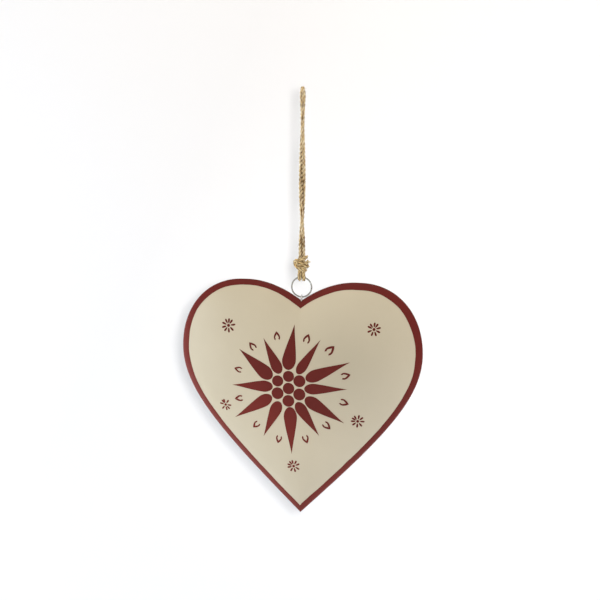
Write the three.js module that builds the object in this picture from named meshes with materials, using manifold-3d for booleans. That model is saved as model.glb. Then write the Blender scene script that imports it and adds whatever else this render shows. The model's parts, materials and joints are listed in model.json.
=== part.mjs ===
// A hanging heart decoration: two domed sheet-steel halves soldered edge to edge, a wire eye in the
// notch, a wire ring through the eye, and a doubled length of jute twine hitched round the ring.
// Millimetres, +Z up, +X to the viewer's right, the painted front faces -Y.
// The origin is the inside top of the twine loop, where the hook that carries the decoration bears.

import * as THREE from 'three';
import { mergeVertices } from 'three/addons/utils/BufferGeometryUtils.js';
import Module from 'manifold-3d';

// Heart outline: half of it runs from the notch over the lobe and the widest place to the tip
const heartWidth = 200;
const notchToTip = 181.2;
const lobeSpacing = 97.4;
const lobeRise = 16.4;
const widestBelowNotch = 41.8;
const notchSlope = 36;
const tipSlope = 45.3;

// How far the outline keeps its direction at each of those places, as curve handles
const notchPull = 30.7;
const lobeInnerPull = 5;
const lobeOuterPull = 30.4;
const widestUpperPull = 33.8;
const widestLowerPull = 36.5;
const tipPull = 97.2;

// Domed halves: each swells from the seam to a crown, and domePower sets how square its edge is
const heartDepth = 28;
const crownBelowNotch = 72.8;
const domePower = 0.65;
const sheet = 0.5;
const seamGap = 0.3;
const solderWidth = 1.6;

// Hanger eye, a loop of wire round the bottom of the ring with two legs through the seam
const eyeWire = 1;
const eyeLegGap = 0.4;
const eyeLegReach = 7.5;

// Hanging ring, bent from wire with a butt cut
const ringDiameter = 16.4;
const ringWire = 1.2;
const ringCut = 0.4;
const ringCutAngle = 25;
const ringToLobes = 0.34;

// Twine, its knot and the hitch round the ring, where it is squeezed thinner
const twine = 2.6;
const knotWidth = 12.4;
const knotDepth = 10.2;
const knotHeight = 12.9;
const knotCoreWidth = 8.8;
const knotEndWidth = 6.4;
const wrapTurns = 1.75;
const tails = [
  { above: 2.2, climb: 35, heading: -20, length: 6.6 },
  { above: 1, climb: 6, heading: -38, length: 8.4 },
];
const hitchTwine = 2.2;
const hitchSpacing = 3.5;
const ringBelowKnot = 4.9;

// Clearances: between pieces that touch, and between pieces that turn on each other
const touchGap = 0.3;
const turnGap = 0.4;

// One leg of the twine loop, from the knot up to the bight; the other leg is opposite it
const loopLeg = [
  [-1.4, -0.38, -133.2],
  [-1.44, 0.2, -126],
  [-1.19, 0.83, -118],
  [-0.25, 1.43, -105],
  [0.83, 1.19, -90],
  [1.43, 0.25, -75],
  [1.36, -0.5, -60],
  [0.89, -1.14, -44],
  [0.26, -1.48, -29],
  [0.52, -2.24, -22],
  [0.99, -3.46, -15],
  [1.51, -4.66, -9],
  [1.79, -5.2, -4.2],
  [1.27, -3.68, -0.31],
];

// Fineness of the meshes
const outlineSteps = [9, 12, 19];
const domeRings = 8;
const wireSides = 8;
const loopSteps = 64;
const ringSteps = 48;
const eyeSteps = 32;
const hitchSteps = 20;
const bendPoints = 8;
const knotSides = 20;
const knotCurvePoints = 4;
const wrapPointsPerTurn = 10;
const wrapStepsPerPoint = 2;
const tailSteps = 3;

// Heights and half sizes that follow from the driving dimensions
const loopTop = twine / 2;
const knotTop = loopLeg[0][2] - touchGap;
const knotMiddle = knotTop - knotHeight / 2;
const knotBottom = knotTop - knotHeight;
const ringTop = knotBottom - ringBelowKnot;
const ringRadius = ringDiameter / 2;
const ringMiddle = ringTop - ringRadius;
const ringBottom = ringTop - ringDiameter;
const radians = THREE.MathUtils.degToRad;
const notchHeight = ringMiddle - (ringRadius + ringWire / 2 + ringToLobes) / Math.cos(radians(notchSlope));
const crownHeight = notchHeight - crownBelowNotch;
const domeHeight = heartDepth / 2 - seamGap / 2;
const eyeLegSpacing = eyeWire + eyeLegGap;

const wasm = await Module();
wasm.setup();

// Solids and meshes

function solidOf(geometry) {
  const bare = geometry.clone();
  bare.deleteAttribute('normal');
  bare.deleteAttribute('uv');
  const merged = mergeVertices(bare, 1e-4);
  return new wasm.Manifold(new wasm.Mesh({
    numProp: 3,
    vertProperties: new Float32Array(merged.attributes.position.array),
    triVerts: new Uint32Array(merged.index.array),
  }));
}

function geometryOf(solid) {
  const mesh = solid.getMesh();
  const geometry = new THREE.BufferGeometry();
  geometry.setAttribute('position', new THREE.BufferAttribute(mesh.vertProperties, 3));
  geometry.setIndex(new THREE.BufferAttribute(mesh.triVerts, 1));
  geometry.computeVertexNormals();
  return geometry;
}

function geometryFrom(positions, triangles) {
  const geometry = new THREE.BufferGeometry();
  geometry.setAttribute('position', new THREE.Float32BufferAttribute(positions, 3));
  geometry.setIndex(triangles);
  geometry.computeVertexNormals();
  return geometry;
}

function tube(points, diameter, steps) {
  const corners = [];
  for (let i = 0; i < wireSides; i += 1) {
    const angle = (i / wireSides) * 2 * Math.PI;
    corners.push(new THREE.Vector2(Math.cos(angle), Math.sin(angle)).multiplyScalar(diameter / 2));
  }
  const route = new THREE.CatmullRomCurve3(points, false, 'centripetal');
  return new THREE.ExtrudeGeometry(new THREE.Shape(corners), { steps, extrudePath: route });
}

// Heart

// Half outline moved inwards by inset, as points (x, z) from the notch to the tip
function halfOutline(inset) {
  const notch = new THREE.Vector2(0, notchHeight);
  const lobe = new THREE.Vector2(lobeSpacing / 2, notchHeight + lobeRise);
  const widest = new THREE.Vector2(heartWidth / 2, notchHeight - widestBelowNotch);
  const tip = new THREE.Vector2(0, notchHeight - notchToTip);
  const along = (angle, length) => new THREE.Vector2(Math.cos(angle), Math.sin(angle)).multiplyScalar(length);
  const shifted = (point, x, z) => new THREE.Vector2(point.x + x, point.y + z);
  const notchHandle = along(radians(notchSlope), notchPull).add(notch);
  const lobeHandle = shifted(lobe, lobeOuterPull, 0);
  const tipHandle = along(radians(tipSlope), tipPull).add(tip);
  const stretches = [
    new THREE.CubicBezierCurve(notch, notchHandle, shifted(lobe, -lobeInnerPull, 0), lobe),
    new THREE.CubicBezierCurve(lobe, lobeHandle, shifted(widest, 0, widestUpperPull), widest),
    new THREE.CubicBezierCurve(widest, shifted(widest, 0, -widestLowerPull), tipHandle, tip),
  ];
  const points = [new THREE.Vector2(0, notchHeight - inset / Math.cos(radians(notchSlope)))];
  stretches.forEach((stretch, s) => {
    for (let i = 1; i <= outlineSteps[s]; i += 1) {
      const t = i / outlineSteps[s];
      const heading = stretch.getTangent(t);
      points.push(stretch.getPoint(t).add(new THREE.Vector2(heading.y, -heading.x).multiplyScalar(inset)));
    }
  });
  points[points.length - 1].set(0, tip.y + inset / Math.cos(radians(tipSlope)));
  return points;
}

// Whole outline, clockwise as seen from the front
function heartOutline(inset) {
  const right = halfOutline(inset);
  const left = right.slice(1, -1).reverse().map((p) => new THREE.Vector2(-p.x, p.y));
  return [...right, ...left];
}

// A place on a dome: share runs from 0 at the crown to 1 at the edge point
function domePoint(edge, share, height, side) {
  const x = share * edge.x;
  const y = side * height * Math.max(0, 1 - share * share) ** domePower;
  const z = crownHeight + share * (edge.y - crownHeight);
  return [x, y, z];
}

// Slot through the seam in the notch, wide enough for the legs of the eye
function eyeSlot() {
  const acrossX = eyeWire + 2 * touchGap;
  const acrossY = eyeLegSpacing + eyeWire + 2 * touchGap;
  const height = 2 * eyeLegReach;
  const slot = new THREE.BoxGeometry(acrossX, acrossY, height);
  slot.translate(0, 0, notchHeight);
  return solidOf(slot);
}

// One half of the heart; side is -1 for the front and 1 for the back
function shell(side) {
  const skins = [
    { edges: heartOutline(0), height: domeHeight },
    { edges: heartOutline(sheet), height: domeHeight - sheet },
  ];
  const around = skins[0].edges.length;
  const positions = [];
  const triangles = [];
  const skinSize = 1 + domeRings * around;
  const place = (skin, ring, column) => skin * skinSize + 1 + (ring - 1) * around + (column % around);
  const face = (a, b, c, turned) => triangles.push(...(turned ? [a, c, b] : [a, b, c]));
  skins.forEach(({ edges, height }, skin) => {
    const turned = (side < 0) === (skin === 0);
    positions.push(0, side * (height + seamGap / 2), crownHeight);
    for (let ring = 1; ring <= domeRings; ring += 1) {
      const share = Math.sin((ring / domeRings) * (Math.PI / 2));
      for (const edge of edges) {
        const [x, y, z] = domePoint(edge, share, height, side);
        positions.push(x, y + side * (seamGap / 2), z);
      }
    }
    for (let column = 0; column < around; column += 1) {
      face(skin * skinSize, place(skin, 1, column), place(skin, 1, column + 1), turned);
      for (let ring = 1; ring < domeRings; ring += 1) {
        const corner = place(skin, ring, column);
        const across = place(skin, ring + 1, column + 1);
        face(corner, place(skin, ring + 1, column), across, turned);
        face(corner, across, place(skin, ring, column + 1), turned);
      }
    }
  });
  for (let column = 0; column < around; column += 1) {
    const outer = place(0, domeRings, column);
    const innerNext = place(1, domeRings, column + 1);
    face(outer, place(1, domeRings, column), innerNext, side < 0);
    face(outer, innerNext, place(0, domeRings, column + 1), side < 0);
  }
  return geometryOf(solidOf(geometryFrom(positions, triangles)).subtract(eyeSlot()));
}

// Solder that fills the wedge inside the seam, stopping either side of the eye
function seamSolder() {
  const edges = heartOutline(sheet + touchGap);
  const height = domeHeight - sheet - touchGap;
  const around = edges.length;
  const positions = [];
  const triangles = [];
  for (const edge of edges) {
    const reach = Math.hypot(edge.x, edge.y - crownHeight);
    const share = 1 - solderWidth / reach;
    positions.push(...domePoint(edge, 1, height, -1));
    positions.push(...domePoint(edge, share, height, -1));
    positions.push(...domePoint(edge, share, height, 1));
  }
  for (let column = 0; column < around; column += 1) {
    for (let corner = 0; corner < 3; corner += 1) {
      const a = column * 3 + corner;
      const b = column * 3 + ((corner + 1) % 3);
      const aNext = ((column + 1) % around) * 3 + corner;
      const bNext = ((column + 1) % around) * 3 + ((corner + 1) % 3);
      triangles.push(a, b, aNext, b, bNext, aNext);
    }
  }
  return geometryOf(solidOf(geometryFrom(positions, triangles)).subtract(eyeSlot()));
}

// Eye and ring

// How far from the middle the inside of the crease below the notch lies, at a given height
function creaseInside(height) {
  const innerNotch = halfOutline(sheet)[0];
  const share = (height - crownHeight) / (innerNotch.y - crownHeight);
  return domePoint(innerNotch, share, domeHeight - sheet, 1)[1];
}

// The legs pass the slot side by side and bend apart until they bear on the inside of the crease
function hangerEye() {
  const loopRadius = ringWire / 2 + turnGap + eyeWire / 2;
  const legY = eyeLegSpacing / 2;
  const footHeight = notchHeight - eyeLegReach;
  const footY = creaseInside(footHeight + eyeWire / 2) - 2 * touchGap;
  const legBend = footY - legY;
  const opening = Math.asin(legY / loopRadius);
  const leg = (side) => {
    const points = [];
    for (let i = 0; i <= bendPoints; i += 1) {
      const angle = (1 - i / bendPoints) * (Math.PI / 2);
      const y = legY + legBend * (1 - Math.cos(angle));
      const z = footHeight + legBend * (1 - Math.sin(angle));
      points.push(new THREE.Vector3(0, side * y, z));
    }
    points.push(new THREE.Vector3(0, side * legY, notchHeight));
    return points;
  };
  const points = leg(-1);
  for (let i = 0; i <= bendPoints; i += 1) {
    const angle = opening + (i / bendPoints) * 2 * (Math.PI - opening);
    const y = -loopRadius * Math.sin(angle);
    const z = ringBottom - loopRadius * Math.cos(angle);
    points.push(new THREE.Vector3(0, y, z));
  }
  points.push(...leg(1).reverse());
  return tube(points, eyeWire, eyeSteps);
}

function hangingRing() {
  const halfCut = ringCut / (2 * ringRadius);
  const start = radians(ringCutAngle) + halfCut;
  const sweep = 2 * Math.PI - 2 * halfCut;
  const points = [];
  for (let i = 0; i <= ringSteps; i += 1) {
    const angle = start + (i / ringSteps) * sweep;
    points.push(new THREE.Vector3(
      ringRadius * Math.cos(angle),
      0,
      ringMiddle + ringRadius * Math.sin(angle),
    ));
  }
  return tube(points, ringWire, ringSteps);
}

// Twine

function twineLoop() {
  const leg = loopLeg.map(([x, y, z]) => new THREE.Vector3(x, y, z));
  const otherLeg = loopLeg.map(([x, y, z]) => new THREE.Vector3(-x, -y, z)).reverse();
  return tube([...leg, new THREE.Vector3(0, 0, loopTop), ...otherLeg], twine, loopSteps);
}

// Barrel of crossed strands with the turns that wrap it, and two cut ends at its upper right
function twineKnot() {
  const coreRadius = knotCoreWidth / 2;
  const endRadius = knotEndWidth / 2;
  const half = knotHeight / 2;
  const shoulder = half - coreRadius + endRadius;
  const profile = new THREE.Path();
  profile.moveTo(0, -half);
  profile.lineTo(endRadius, -half);
  profile.quadraticCurveTo(coreRadius, -shoulder, coreRadius, 0);
  profile.quadraticCurveTo(coreRadius, shoulder, endRadius, half);
  profile.lineTo(0, half);
  const core = new THREE.LatheGeometry(profile.getPoints(knotCurvePoints), knotSides);
  core.rotateX(Math.PI / 2);

  const wrapRadius = (knotWidth - twine) / 2;
  const wrapRise = knotHeight - 2 * twine;
  const wrapPoints = Math.round(wrapTurns * wrapPointsPerTurn);
  const wrap = [];
  for (let i = 0; i <= wrapPoints; i += 1) {
    const angle = (i / wrapPointsPerTurn) * 2 * Math.PI;
    const height = (i / wrapPoints - 0.5) * wrapRise;
    wrap.push(new THREE.Vector3(wrapRadius * Math.cos(angle), wrapRadius * Math.sin(angle), height));
  }

  let knot = solidOf(core).add(solidOf(tube(wrap, twine, wrapPoints * wrapStepsPerPoint)));
  for (const tail of tails) {
    const climb = radians(tail.climb);
    const heading = radians(tail.heading);
    const root = new THREE.Vector3(0, 0, tail.above);
    const end = new THREE.Vector3(
      tail.length * Math.cos(climb) * Math.cos(heading),
      tail.length * Math.cos(climb) * Math.sin(heading),
      tail.above + tail.length * Math.sin(climb),
    );
    knot = knot.add(solidOf(tube([root, end], twine, tailSteps)));
  }
  const geometry = geometryOf(knot);
  geometry.scale(1, knotDepth / knotWidth, 1);
  geometry.translate(0, 0, knotMiddle);
  return geometry;
}

// A strand from the knot down in front of the ring, under its wire and up behind it
function hitchStrand(side) {
  const x = side * hitchSpacing / 2;
  const wireHeight = ringMiddle + Math.sqrt(ringRadius * ringRadius - x * x);
  const bendRadius = ringWire / 2 + turnGap + hitchTwine / 2;
  const top = knotBottom - touchGap;
  const points = [new THREE.Vector3(x, -bendRadius, top)];
  for (let i = 0; i <= bendPoints; i += 1) {
    const angle = (i / bendPoints) * Math.PI;
    points.push(new THREE.Vector3(
      x,
      -bendRadius * Math.cos(angle),
      wireHeight - bendRadius * Math.sin(angle),
    ));
  }
  points.push(new THREE.Vector3(x, bendRadius, top));
  return tube(points, hitchTwine, hitchSteps);
}

// Finishes

const creamLacquer = { color: 0xd3c8ae, roughness: 0.45, metalness: 0 };
const solderGrey = { color: 0x9a9a98, roughness: 0.4, metalness: 1 };
const tinnedWire = { color: 0xa8a8a6, roughness: 0.3, metalness: 1 };
const jute = { color: 0xb89a6a, roughness: 0.95, metalness: 0 };

const heart = new THREE.Group();

function addPiece(name, geometry, finish) {
  const piece = new THREE.Mesh(geometry, new THREE.MeshStandardMaterial(finish));
  piece.name = name;
  heart.add(piece);
}

addPiece('front_shell', shell(-1), creamLacquer);
addPiece('back_shell', shell(1), creamLacquer);
addPiece('seam_solder', seamSolder(), solderGrey);
addPiece('hanger_eye', hangerEye(), tinnedWire);
addPiece('hanging_ring', hangingRing(), tinnedWire);
addPiece('cord_loop', twineLoop(), jute);
addPiece('cord_knot', twineKnot(), jute);
addPiece('hitch_strand_left', hitchStrand(-1), jute);
addPiece('hitch_strand_right', hitchStrand(1), jute);

export default heart;
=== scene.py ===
import json
from functools import partial
from math import atan2, cos, pi, radians, sin, sqrt, tau

import bpy
from mathutils import Matrix, Vector


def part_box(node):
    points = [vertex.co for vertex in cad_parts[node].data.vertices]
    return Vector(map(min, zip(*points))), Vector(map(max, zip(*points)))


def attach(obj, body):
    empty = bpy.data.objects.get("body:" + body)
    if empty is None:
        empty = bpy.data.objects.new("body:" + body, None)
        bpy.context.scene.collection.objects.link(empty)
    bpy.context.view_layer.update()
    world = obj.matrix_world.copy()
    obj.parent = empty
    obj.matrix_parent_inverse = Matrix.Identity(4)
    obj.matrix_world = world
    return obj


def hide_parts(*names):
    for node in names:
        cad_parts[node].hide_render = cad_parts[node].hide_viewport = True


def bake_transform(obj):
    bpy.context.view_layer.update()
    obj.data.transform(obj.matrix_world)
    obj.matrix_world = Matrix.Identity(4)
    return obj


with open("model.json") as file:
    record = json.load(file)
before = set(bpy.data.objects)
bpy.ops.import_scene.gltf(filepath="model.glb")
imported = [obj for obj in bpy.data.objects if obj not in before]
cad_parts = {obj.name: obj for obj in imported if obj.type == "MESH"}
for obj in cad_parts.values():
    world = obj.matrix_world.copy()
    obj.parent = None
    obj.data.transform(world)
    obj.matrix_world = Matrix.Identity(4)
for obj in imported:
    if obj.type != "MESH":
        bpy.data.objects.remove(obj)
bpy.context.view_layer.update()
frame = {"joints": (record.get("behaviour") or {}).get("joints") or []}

scene = bpy.context.scene
scene.view_settings.view_transform = "Standard"
mm = 0.001

# Places taken from the frame, in metres
joint_at = {joint["name"]: Vector(joint["pos_m"]) for joint in frame["joints"]}
knot_top = joint_at["cord_twist"]
ring_top = joint_at["ring_swing"]
ring_bottom = joint_at["heart_swing"]
shell_low, shell_high = [Vector(corner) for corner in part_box("front_shell")]

# Heart: outline, dome and sheet
notch_to_tip = 181.2 * mm
lobe_spacing = 97.4 * mm
widest_below_notch = 41.8 * mm
crown_below_notch = 72.8 * mm
notch_slope = radians(36)
tip_slope = radians(44.7)
notch_pull = 30.7 * mm
lobe_inner_pull = 5 * mm
lobe_outer_pull = 30.4 * mm
widest_upper_pull = 33.8 * mm
widest_lower_pull = 36.5 * mm
tip_pull = 97.2 * mm
dome_power = 0.65
seam_gap = 0.3 * mm
sheet = 0.5 * mm
corner_softening = 0.04
soften_taps = 6
edge_hold = 6.0
columns = 288
rings = 56
outline_steps = 128

tip = Vector((0, 0, shell_low.z))
notch = tip + Vector((0, 0, notch_to_tip))
crown = notch - Vector((0, 0, crown_below_notch))
lobe = Vector((lobe_spacing / 2, 0, shell_high.z))
widest = Vector((shell_high.x, 0, notch.z - widest_below_notch))
dome_height = -shell_low.y - seam_gap / 2

# Paint: the rim band, the thickness of a brushed coat, where the red grows lighter, and where the
# cream is painted darker as painted shade
rim_band = 3.1 * mm
band_taper = 0.023
# On the left: the extra width low down and high up, the heights between, and where it fades in
left_low_extra = 0.55 * mm
left_high_extra = -0.9 * mm
left_change = (25 * mm, 65 * mm)
left_fade = 40 * mm
band_waver = 0.4 * mm
waver_length = 16 * mm
rim_rings = 20
paint_lift = 0.06 * mm
paint_coat = 0.09 * mm
print_stand_off = -0.1
# The flower's middle, across and up from the crown in millimetres
flower = (-8.1, 1.8)
flower_middle = crown + Vector((flower[0], 0, flower[1])) * mm
# The red grows lighter towards the lower left, from one distance past the flower's middle to another.
lightening_way = Vector((-0.62, 0.0, -0.78))
lightening_from = 2.4 * mm
lightening_to = 28.4 * mm
# Where the cream is painted darker, as painted shade: the patch's middle and its reach
painted_shade_middle = crown + Vector((39 * mm, -dome_height, 12 * mm))
painted_shade_reach = 74 * mm

# Wire: the hanging ring and the eye in the notch
ring_diameter = (ring_top - ring_bottom).length
ring_wire = 1.2 * mm
ring_cut = 0.4 * mm
ring_cut_turn = radians(25)
ring_steps = 120
eye_wire = 1 * mm
eye_leg_gap = 0.4 * mm
eye_play = 0.4 * mm
eye_turn = ring_wire / 2 + eye_wire / 2 + eye_play
eye_neck = 1.2 * mm
eye_depth = 7.5 * mm
eye_steps = 40
wire_sides = 20

# Twine: three plies laid up right-handed, soft enough to bulge past their nominal size
twine = 2.6 * mm
bulge = 1.18
ply_count = 3
packing = 2 / sqrt(3)
ply_radius = bulge * twine / 2 / (1 + packing)
ply_sides = 10
lay_length = 10.44 * mm
yarn_turn = 7 * mm
fibre_bundle = 0.35 * mm
fibre_relief = 0.22 * mm
nestle = 0.85
loop_closes = -25 * mm
# Painted shade where the loop's legs meet: deepest within the first distance of the upright axis, gone
# by the second.
legs_meet = 0.5 * mm
legs_clear = 1.7 * mm
loop_step = 0.45 * mm
loop_fibres_per_area = 2.6e5
knot_middle = knot_top - Vector((0, 0, 6.45 * mm))
knot_step = 0.4 * mm
knot_fibres_per_area = 3.2e5
knot_slimness = 0.92
hitch_swell = 0.05
hitch_span = 4 * mm
fray_splay = 0.5
fray_points = 14
shortest_fibre = 0.6 * mm
longest_fibre = 2.6 * mm
fibre_slimness = 0.02

# Meshing: the distance within which points are one, and the angle from which an edge stays sharp
merge_within = 0.001 * mm
sharp_from = radians(50)


def colour(hex_code):
    """An sRGB hex colour as linear red, green, blue and alpha."""
    channels = [int(hex_code[start:start + 2], 16) / 255 for start in (1, 3, 5)]
    linear = [c / 12.92 if c <= 0.04045 else ((c + 0.055) / 1.055) ** 2.4 for c in channels]
    return (*linear, 1.0)


def node(tree, kind, inputs=(), **settings):
    """Add a node, set its options, and link or fill its inputs, in order or by name or number.

    A node given as an input stands for the first of its outputs that is in use.
    """
    made = tree.nodes.new(kind)
    for option, value in settings.items():
        setattr(made, option, value)
    for key, value in inputs.items() if isinstance(inputs, dict) else enumerate(inputs):
        if isinstance(value, bpy.types.Node):
            value = next(output for output in value.outputs if output.enabled)
        if isinstance(value, bpy.types.NodeSocket):
            tree.links.new(value, made.inputs[key])
        else:
            made.inputs[key].default_value = value
    return made


def put(name, data):
    """A new object in the scene."""
    made = bpy.data.objects.new(name, data)
    scene.collection.objects.link(made)
    return made


# The materials

def blank_material(name):
    """A material with an empty node tree, and the function that adds nodes to it."""
    material = bpy.data.materials.new(name)
    material.use_nodes = True
    material.node_tree.nodes.clear()
    return material, partial(node, material.node_tree)


def cream_lacquer():
    """Stoved cream lacquer on pressed sheet steel, satin."""
    # An even pale coat with a broad soft gloss, faint clouding and a fine orange-peel ripple.
    material, add = blank_material("cream_stoved_lacquer_satin")
    place = add("ShaderNodeTexCoord").outputs["Object"]
    cloud = add("ShaderNodeTexNoise",
                {"Vector": place, "Scale": 1 / (26 * mm), "Detail": 4.0, "Roughness": 0.6})
    peel = add("ShaderNodeTexNoise", {"Vector": place, "Scale": 1 / (1.6 * mm), "Detail": 2.0})
    tint = add("ShaderNodeMix", {0: cloud, 6: colour("#b7aa91"), 7: colour("#bfb299")},
               data_type="RGBA")
    # On the front the coat is painted darker over a broad patch to the right of the flower, as painted
    # shade where the dome gets less light.
    depth = add("ShaderNodeSeparateXYZ", (place,)).outputs["Y"]
    front = add("ShaderNodeMath", (depth, 0.0), operation="LESS_THAN")
    away = add("ShaderNodeVectorMath", (place, painted_shade_middle), operation="DISTANCE")
    shade_fading = add("ShaderNodeMapRange",
                 {"Value": away, "From Max": painted_shade_reach, "To Min": front, "To Max": 0.0},
                 interpolation_type="SMOOTHSTEP")
    shade_painted_tint = add("ShaderNodeMix", {0: shade_fading, 6: tint, 7: colour("#aa9e87")}, data_type="RGBA")
    gloss = add("ShaderNodeMapRange", {"Value": cloud, "To Min": 0.3, "To Max": 0.42})
    ripple = add("ShaderNodeBump", {"Height": peel, "Strength": 0.25, "Distance": 0.03 * mm})
    skin = add("ShaderNodeBsdfPrincipled",
               {"Base Color": shade_painted_tint, "Roughness": gloss, "Normal": ripple, "IOR": 1.5,
                "Coat Weight": 0.6, "Coat Roughness": 0.3})
    add("ShaderNodeOutputMaterial", {"Surface": skin})
    return material


def red_paint(finish, deep_tone, light_tone, lower_left_tone):
    """Dark oxide red satin enamel over the lacquer, brushed or stencilled, its tones given."""
    # A deep brownish red with slightly uneven cover and a softer gloss than the lacquer.
    material, add = blank_material("oxide_red_enamel_" + finish)
    place = add("ShaderNodeTexCoord").outputs["Object"]
    cover = add("ShaderNodeTexNoise",
                {"Vector": place, "Scale": 1 / (9 * mm), "Detail": 5.0, "Roughness": 0.65})
    # Bristle marks are finer than this on the real paint; they are drawn coarse enough to show.
    bristle = add("ShaderNodeTexNoise", {"Vector": place, "Scale": 1 / (0.7 * mm), "Detail": 3.0})
    tint = add("ShaderNodeMix", {0: cover, 6: colour(deep_tone), 7: colour(light_tone)},
               data_type="RGBA")
    # The colour grows lighter from below the flower's middle to the lower left.
    along = add("ShaderNodeVectorMath", (place, lightening_way), operation="DOT_PRODUCT")
    middle = flower_middle.dot(lightening_way)
    lightening = add("ShaderNodeMapRange",
                   {"Value": along, "From Min": middle + lightening_from, "From Max": middle + lightening_to})
    lightened = add("ShaderNodeMix", {0: lightening, 6: tint, 7: colour(lower_left_tone)}, data_type="RGBA")
    marks = add("ShaderNodeBump", {"Height": bristle, "Strength": 0.3, "Distance": 0.03 * mm})
    gloss = add("ShaderNodeMapRange", {"Value": bristle, "To Min": 0.36, "To Max": 0.52})
    skin = add("ShaderNodeBsdfPrincipled",
               {"Base Color": lightened, "Roughness": gloss, "Normal": marks, "IOR": 1.5,
                "Specular IOR Level": 0.16})
    add("ShaderNodeOutputMaterial", {"Surface": skin})
    return material


def tinned_wire(finish, dark, light):
    """Drawn steel wire, tinned, its dark and light tones given."""
    # A grey metal whose reflections are broken by draw marks and a little dulling.
    material, add = blank_material("tinned_steel_wire_" + finish)
    place = add("ShaderNodeTexCoord").outputs["Object"]
    dulling = add("ShaderNodeTexNoise", {"Vector": place, "Scale": 1 / (1.1 * mm), "Detail": 4.0})
    tint = add("ShaderNodeMix", {0: dulling, 6: colour(dark), 7: colour(light)}, data_type="RGBA")
    gloss = add("ShaderNodeMapRange", {"Value": dulling, "To Min": 0.18, "To Max": 0.4})
    skin = add("ShaderNodeBsdfPrincipled",
               {"Base Color": tint, "Metallic": 1.0, "Roughness": gloss})
    add("ShaderNodeOutputMaterial", {"Surface": skin})
    return material


def dull_solder():
    """Soft tin solder, run with an iron and left to set."""
    # A dull silver with wrinkles where the run cooled.
    material, add = blank_material("tin_solder_dull")
    place = add("ShaderNodeTexCoord").outputs["Object"]
    wrinkle = add("ShaderNodeTexNoise", {"Vector": place, "Scale": 1 / (0.9 * mm), "Detail": 3.0})
    tint = add("ShaderNodeMix", {0: wrinkle, 6: colour("#8f8e88"), 7: colour("#c4c3bd")},
               data_type="RGBA")
    relief = add("ShaderNodeBump", {"Height": wrinkle, "Strength": 0.5, "Distance": 0.1 * mm})
    skin = add("ShaderNodeBsdfPrincipled",
               {"Base Color": tint, "Metallic": 1.0, "Roughness": 0.42, "Normal": relief})
    add("ShaderNodeOutputMaterial", {"Surface": skin})
    return material


def jute(finish, pale_tone, deep_tone):
    """Spun jute yarn, unbleached, its pale and deep tones given."""
    # Straw-coloured fibres with darker ones among them, matt, with a faint sheen on the hairs.
    material, add = blank_material("jute_yarn_" + finish)
    grain = add("ShaderNodeAttribute", attribute_name="grain").outputs["Vector"]
    ply = add("ShaderNodeAttribute", attribute_name="ply").outputs["Fac"]
    crest = add("ShaderNodeAttribute", attribute_name="crest").outputs["Fac"]
    # Fibres and bark flecks are finer than this on real jute; they are drawn coarse enough to show.
    drawn = add("ShaderNodeMapping", {"Vector": grain, "Scale": (1.0, 1.0, 0.07)})
    fibre = add("ShaderNodeTexNoise", {"Vector": drawn, "Scale": 1 / (0.2 * mm), "Detail": 3.0})
    short = add("ShaderNodeMapping", {"Vector": grain, "Scale": (1.0, 1.0, 0.12)})
    bark = add("ShaderNodeTexNoise", {"Vector": short, "Scale": 1 / mm, "Detail": 1.0})
    patch = add("ShaderNodeTexNoise", {"Vector": grain, "Scale": 1 / (5 * mm), "Detail": 2.0})
    fleck = add("ShaderNodeMapRange", {"Value": bark, "From Min": 0.5, "From Max": 0.66})
    streak = add("ShaderNodeMapRange", {"Value": fibre, "From Min": 0.34, "From Max": 0.6})
    shade = add("ShaderNodeMath", (ply, 0.12, patch), operation="MULTIPLY_ADD")
    shaded = add("ShaderNodeMapRange", {"Value": shade, "From Min": 0.35, "From Max": 0.85})
    # The grooves between plies are painted darker, as painted shade; crest is 2.15 at the outside of a
    # ply.
    groove_shade = add("ShaderNodeMapRange", {"Value": crest, "From Min": 0.9, "From Max": 1.8})
    # Each layer of tone goes over or under what the layers before it gave.
    tint = colour(pale_tone)
    for share, under, over in ((shaded, None, colour(deep_tone)),
                               (streak, colour("#aa8b5b"), None),
                               (fleck, None, colour("#6a4c2b")),
                               (groove_shade, colour("#563e21"), None)):
        tint = add("ShaderNodeMix", {0: share, 6: under or tint, 7: over or tint}, data_type="RGBA")
    relief = add("ShaderNodeBump", {"Height": fibre, "Strength": 0.6, "Distance": 0.12 * mm})
    skin = add("ShaderNodeBsdfPrincipled",
               {"Base Color": tint, "Roughness": 0.85, "Sheen Weight": 0.1, "Sheen Roughness": 0.5,
                "Normal": relief, "IOR": 1.5, "Specular IOR Level": 0.2})
    add("ShaderNodeOutputMaterial", {"Surface": skin})
    return material


cream = cream_lacquer()
rim_red = red_paint("brushed", "#581b16", "#66221d", "#682620")
stencil_red = red_paint("stencilled", "#511914", "#5e1f1a", "#68231c")
grey_wire = tinned_wire("grey", "#7d7a72", "#a09d94")
# The eye's wire is the same tinned steel in lighter tones, as a painted highlight.
painted_highlight_wire = tinned_wire("bright", "#c9c6bf", "#e6e4de")
solder = dull_solder()
straw = jute("unbleached", "#eddfc0", "#d1b180")
# The knot's jute is the same yarn in warmer, lighter tones: painted bounce light and highlights inside
# the knot.
golden = jute("golden", "#f8e6b8", "#dcb87b")


# Growing pieces with geometry trees

def new_tree(name, sizes):
    """A geometry tree, the function that adds to it, and its inputs: each size and its usual value."""
    tree = bpy.data.node_groups.new(name, "GeometryNodeTree")
    for way in ("OUTPUT", "INPUT"):
        tree.interface.new_socket("Geometry", in_out=way, socket_type="NodeSocketGeometry")
    for label, value in sizes.items():
        # The value's type names the kind of input: Float, Int, Vector, Object or Material.
        kind = type(value).__name__.capitalize()
        size = tree.interface.new_socket(label, in_out="INPUT", socket_type="NodeSocket" + kind)
        size.default_value = value
    return tree, partial(node, tree), node(tree, "NodeGroupInput").outputs


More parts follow.
